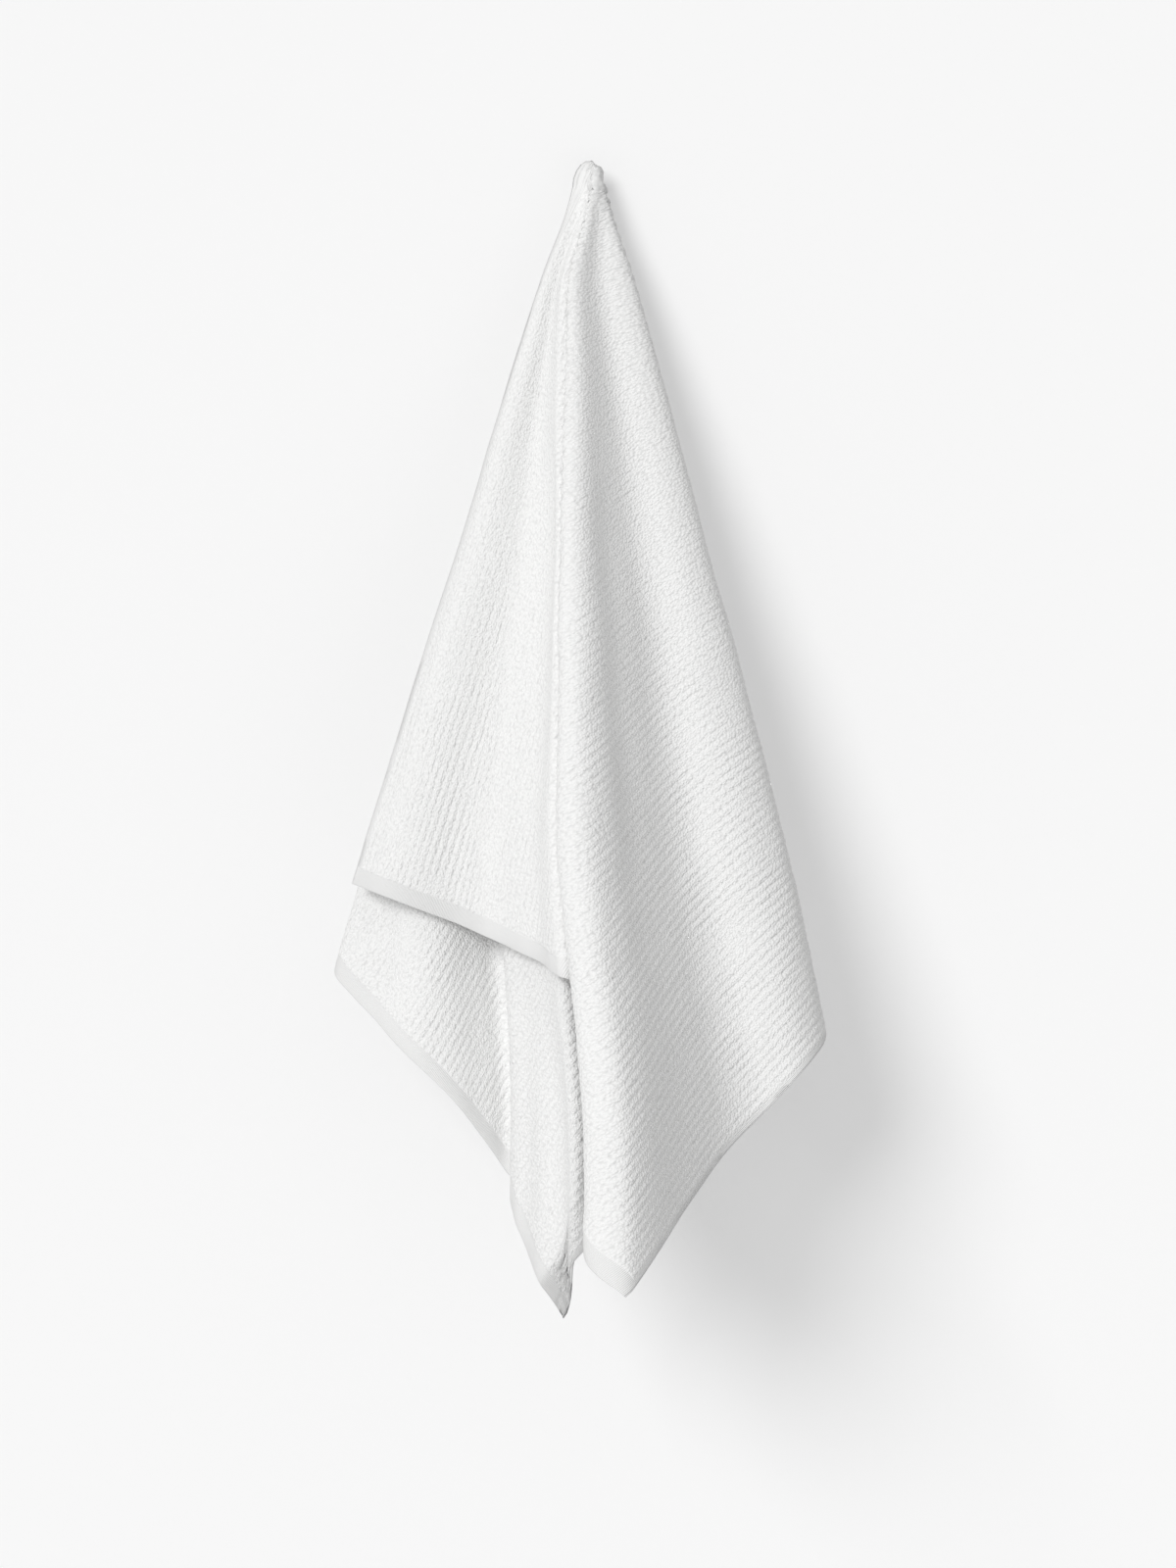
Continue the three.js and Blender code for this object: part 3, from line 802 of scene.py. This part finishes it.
@dataclass
class TerryCloth:
    """The whole cloth: one thin sheet with ribs of pile, flat end hems and narrow selvedges."""

    flat: FlatCloth
    drape: Drape
    finish: TerryFinish
    name: str = "terry_cloth"
    most_triangles: int = 198000
    fine_step: float = 2.2
    step_growth: float = 0.045
    coarse_step: float = 6.6
    clear_of_hem: float = 4.0
    hem_rows: tuple[float, ...] = (12.5, 11.2, 10.4, 9.6, 8.8, 4.5, 0.6, 0.0)

    def rows(self, reach: float) -> np.ndarray:
        """Places the grid's rows: close together near the hang point and at the hem.

        Args:
            reach: Distance from the hang line to the hem, in millimetres.

        Returns:
            Distances of the rows from the hang line, in millimetres.
        """
        places, place = [], 0.0
        while place < reach - self.flat.hem - self.clear_of_hem:
            places.append(place)
            place += min(self.coarse_step, self.fine_step + self.step_growth * place)
        edge = np.array(self.hem_rows) * self.flat.hem / 10
        return np.concatenate([places, reach - edge])

    def columns(self) -> np.ndarray:
        """Places the grid's columns: several to each rib, and close together at the selvedges.

        Returns:
            Distances of the columns from the hung side, in millimetres.
        """
        count = self.flat.ribs * self.flat.samples_per_rib
        ribs = np.linspace(self.flat.selvedge, self.flat.width - self.flat.selvedge, count + 1)
        edge = np.array([0.0, 0.5]) * self.flat.selvedge
        return np.concatenate([edge, ribs, self.flat.width - edge[::-1]])

    def rib_rise(self, along: np.ndarray, across: np.ndarray, face: int) -> np.ndarray:
        """Height of the ribs over the middle of the pile: uneven, faint at the top and in sharp folds.

        Args:
            along: Place of each point along the ribs, in millimetres.
            across: Distance of each point from the hung side, in millimetres.
            face: Value of the face that the points are on.

        Returns:
            The height at each point, in millimetres.
        """
        flat = self.flat
        phase = (across - flat.selvedge) / flat.rib_pitch()
        rib = np.abs(np.sin(math.pi * phase))
        patches = soft_noise(along / flat.rib_patch + 20, across / flat.rib_pitch(), 11 + face)
        uneven = flat.rib_level + flat.rib_spread * patches
        low_down = smoothstep(np.hypot(along, across), *flat.rib_fade)
        uneven *= flat.rib_least + (1 - flat.rib_least) * low_down
        angle = np.degrees(np.arctan2(across, -along))
        for change in flat.rib_changes:
            uneven *= 1 + change.gain * np.exp(-(((angle - change.flat) / change.spread) ** 2))
        return flat.rib_height * (rib - flat.rib_middle) * uneven

    def half_thickness(self, along: np.ndarray, across: np.ndarray, face: int) -> np.ndarray:
        """Half the cloth's thickness: ribs of pile on a ground cloth, and flat bands along the edges.

        Args:
            along: Place of each point along the ribs, in millimetres.
            across: Distance of each point from the hung side, in millimetres.
            face: Value of the face that the points are on.

        Returns:
            Half the thickness at each point, in millimetres.
        """
        flat = self.flat
        reach = np.where(along < 0, flat.to_front_hem + along, flat.to_back_hem - along)
        side = np.minimum(across, flat.width - across)
        band = 1 - smoothstep(reach, flat.hem, flat.hem + flat.hem_rise)
        woven = 1 - smoothstep(side, *[flat.selvedge + edge for edge in flat.selvedge_rise])
        pile = flat.ground + flat.pile + self.rib_rise(along, across, face)
        pile += flat.pile_noise * soft_noise(along / flat.loop_along, across / flat.loop_across, 21 + face)
        stitch = np.exp(-(((reach - flat.hem) / flat.stitch_width) ** 2))
        hemmed = flat.hem_half - flat.stitch_depth * stitch
        to_edge = np.minimum(reach, side + 1) / flat.edge_round
        edge = 1 - flat.edge_thinning * np.exp(-(to_edge**2))
        thick = pile * (1 - band) + hemmed * band
        return (thick * (1 - woven) + flat.ground * woven) * edge

    def lay_out(self) -> bpy.types.Object:
        """Makes the sheet flat, with its grid close where it needs detail, and gives it two faces.

        Returns:
            The flat cloth, in millimetres.
        """
        front = self.rows(self.flat.to_front_hem)
        back = self.rows(self.flat.to_back_hem)
        along = np.concatenate([-front[:0:-1], back])
        across = self.columns()
        bpy.ops.mesh.primitive_grid_add(
            x_subdivisions=len(along) - 1, y_subdivisions=len(across) - 1, size=2
        )
        cloth = bpy.context.object
        cloth.name = self.name
        flat = Modelling.points(cloth.data)
        row = np.rint((flat[:, 0] + 1) / 2 * (len(along) - 1)).astype(int)
        column = np.rint((flat[:, 1] + 1) / 2 * (len(across) - 1)).astype(int)
        flat[:, 0], flat[:, 1] = along[row], across[column]
        Modelling.move(cloth.data, flat)
        Modelling.apply(cloth, "SOLIDIFY", thickness=1.0, offset=0.0)
        return cloth

    def hang_up(self, cloth: bpy.types.Object) -> None:
        """Maps the flat cloth and moves its points to where they hang.

        Args:
            cloth: The flat cloth with its two faces.
        """
        flat = Modelling.points(cloth.data)
        self.map_flat(cloth.data, flat)
        side = np.where(flat[:, 2] > 0, Face.OUTER.value, Face.INNER.value)
        lift = np.zeros(len(flat))
        for face in Face:
            mine = side == face.value
            half = self.half_thickness(flat[mine, 0], flat[mine, 1], face.value)
            lift[mine] = half * face.value
        Modelling.move(cloth.data, self.drape.settle(flat[:, 0], flat[:, 1], lift))

    def build(self) -> bpy.types.Object:
        """Makes the cloth, hangs it and thins its mesh.

        Returns:
            The hung cloth.
        """
        cloth = self.lay_out()
        self.hang_up(cloth)
        self.turn_outwards(cloth)
        mesh = cloth.data
        LOG.info("cloth before thinning: %d faces", len(mesh.polygons))
        triangles = sum(len(face.vertices) - 2 for face in mesh.polygons)
        if triangles > self.most_triangles:
            Modelling.apply(cloth, "DECIMATE", ratio=self.most_triangles / triangles)
        Modelling.only(cloth)
        bpy.ops.object.shade_smooth()
        return cloth

    def map_flat(self, mesh: bpy.types.Mesh, flat: np.ndarray) -> None:
        """Writes each corner's place on the flat cloth, in metres, to a map.

        Args:
            mesh: The cloth's mesh.
            flat: Its points on the flat cloth, in millimetres, a row to each.
        """
        corners = np.zeros(len(mesh.loops), dtype=int)
        mesh.loops.foreach_get("vertex_index", corners)
        for layer in list(mesh.uv_layers):
            mesh.uv_layers.remove(layer)
        layer = mesh.uv_layers.new(name="flat")
        layer.data.foreach_set("uv", (flat[corners, :2] * MM).ravel())

    def turn_outwards(self, cloth: bpy.types.Object) -> None:
        """Flips the faces if the closed sheet is inside out.

        Args:
            cloth: The cloth as a closed sheet with two faces.
        """
        mesh = cloth.data
        mesh.calc_loop_triangles()
        corners = np.zeros(len(mesh.loop_triangles) * 3, dtype=int)
        mesh.loop_triangles.foreach_get("vertices", corners)
        a, b, c = Modelling.points(mesh)[corners.reshape(-1, 3)].transpose(1, 0, 2)
        if float((a * np.cross(b, c)).sum()) < 0:
            mesh.flip_normals()

    def dress(self, cloth: bpy.types.Object) -> None:
        """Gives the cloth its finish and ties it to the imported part.

        Args:
            cloth: The hung cloth.
        """
        cloth.data.materials.clear()
        cloth.data.materials.append(self.finish.material(self.flat))
        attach(cloth, "root")
        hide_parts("cloth")


@dataclass
class Studio:
    """The wall, the floor, the lamps and the camera. Lengths are in metres and angles in degrees."""

    wall_gap: float = 0.014
    wall_lean: float = 9.2
    wall_size: float = 7.0
    floor_size: float = 21.0
    floor_drop: float = 0.65
    tone: float = 0.885
    wall_diffuse: float = 0.71
    wall_glow: float = 0.21
    paint_roughness: float = 0.9
    paint_shine: float = 0.1
    key_strength: float = 1.83
    key_left: float = 32.0
    key_up: float = 22.0
    key_softness: float = 28.0
    back_left: float = 205.0
    back_strength: float = 0.5
    world_strength: float = 0.50
    camera_distance: float = 2.4
    view_height: float = 0.944
    sensor: float = 36.0
    look: tuple[float, float, float] = (-0.0018, 0.0, -0.369)

    def backdrop(self) -> None:
        """Adds a wall just behind the cloth, seen from in front only, and a floor well below it."""
        low, _ = CAD_BOX
        lean = math.radians(90 + self.wall_lean)
        bpy.ops.mesh.primitive_plane_add(
            size=self.wall_size, location=(0, self.wall_gap, 0), rotation=(lean, 0, 0)
        )
        wall = bpy.context.object
        wall.name = "wall"
        bpy.ops.mesh.primitive_plane_add(size=self.floor_size, location=(0, 0, low.z - self.floor_drop))
        floor = bpy.context.object
        floor.name = "floor"
        for piece in (wall, floor):
            Modelling.only(piece)
            bpy.ops.object.transform_apply(location=True, rotation=True, scale=True)
            piece.data.materials.append(self.paint(piece.name, one_way=piece is wall))
            LOG.info("%s: backdrop", piece.name)
        wall.visible_diffuse = False
        wall.visible_glossy = False
        wall.visible_shadow = False

    def paint(self, name: str, one_way: bool) -> bpy.types.Material:
        """Makes plain pale paint.

        Args:
            name: What is painted.
            one_way: True if the paint is clear when seen from behind.

        Returns:
            The material.
        """
        made = bpy.data.materials.new(f"{name}_paint")
        made.use_nodes = True
        nodes, links = made.node_tree.nodes, made.node_tree.links
        shader = nodes["Principled BSDF"]
        tone = self.wall_diffuse if one_way else self.tone
        shader.inputs["Base Color"].default_value = (tone, tone, tone, 1)
        shader.inputs["Emission Color"].default_value = (1, 1, 1, 1)
        shader.inputs["Emission Strength"].default_value = self.wall_glow if one_way else 0.0
        shader.inputs["Roughness"].default_value = self.paint_roughness
        shader.inputs["Specular IOR Level"].default_value = self.paint_shine
        if one_way:
            clear = nodes.new("ShaderNodeBsdfTransparent")
            mix = nodes.new("ShaderNodeMixShader")
            seen = nodes.new("ShaderNodeNewGeometry")
            links.new(seen.outputs["Backfacing"], mix.inputs["Fac"])
            links.new(shader.outputs["BSDF"], mix.inputs[1])
            links.new(clear.outputs["BSDF"], mix.inputs[2])
            links.new(mix.outputs["Shader"], nodes["Material Output"].inputs["Surface"])
        return made

    def sun(self, name: str, left: float, strength: float) -> None:
        """Adds even light from one direction.

        Args:
            name: The lamp's name.
            left: How far to the left of straight in front it shines from, in degrees.
            strength: Its strength.
        """
        bpy.ops.object.light_add(type="SUN", location=(0, 0, 1))
        lamp = bpy.context.object
        lamp.name = name
        lamp.data.energy = strength
        lamp.data.angle = math.radians(self.key_softness)
        left, up = math.radians(left), math.radians(self.key_up)
        travel = Vector((math.sin(left) * math.cos(up), math.cos(left) * math.cos(up), -math.sin(up)))
        lamp.rotation_euler = travel.to_track_quat("-Z", "Y").to_euler()

    def world(self) -> None:
        """Adds even white light from all round, and a pale background for the camera."""
        made = bpy.data.worlds.new("studio")
        bpy.context.scene.world = made
        made.use_nodes = True
        nodes, links = made.node_tree.nodes, made.node_tree.links
        light = nodes["Background"]
        light.inputs["Color"].default_value = (1, 1, 1, 1)
        light.inputs["Strength"].default_value = self.world_strength
        pale = nodes.new("ShaderNodeBackground")
        pale.inputs["Color"].default_value = (self.tone, self.tone, self.tone, 1)
        pale.inputs["Strength"].default_value = 1.0
        path = nodes.new("ShaderNodeLightPath")
        mix = nodes.new("ShaderNodeMixShader")
        links.new(path.outputs["Is Camera Ray"], mix.inputs["Fac"])
        links.new(light.outputs["Background"], mix.inputs[1])
        links.new(pale.outputs["Background"], mix.inputs[2])
        links.new(mix.outputs["Shader"], nodes["World Output"].inputs["Surface"])

    def camera(self) -> None:
        """Adds a level camera straight in front of the cloth."""
        bpy.ops.object.camera_add(
            location=(self.look[0], -self.camera_distance, self.look[2]),
            rotation=(math.pi / 2, 0, 0),
        )
        camera = bpy.context.object
        camera.data.sensor_width = self.sensor
        camera.data.lens = self.sensor * self.camera_distance / self.view_height
        bpy.context.scene.camera = camera

    def build(self) -> None:
        """Sets up everything round the cloth."""
        bpy.context.scene.view_settings.view_transform = "Standard"
        self.backdrop()
        self.world()
        self.sun("key", self.key_left, self.key_strength)
        self.sun("behind", self.back_left, self.back_strength)
        self.camera()


def main() -> None:
    """Builds the studio and the cloth."""
    logging.basicConfig(level=logging.INFO, format="%(message)s")
    Studio().build()
    flat = FlatCloth()
    cloth = TerryCloth(flat, Drape(flat), TerryFinish())
    piece = cloth.build()
    cloth.dress(piece)
    LOG.info("%s: %d faces", piece.name, len(piece.data.polygons))


if __name__ == "__main__":
    main()
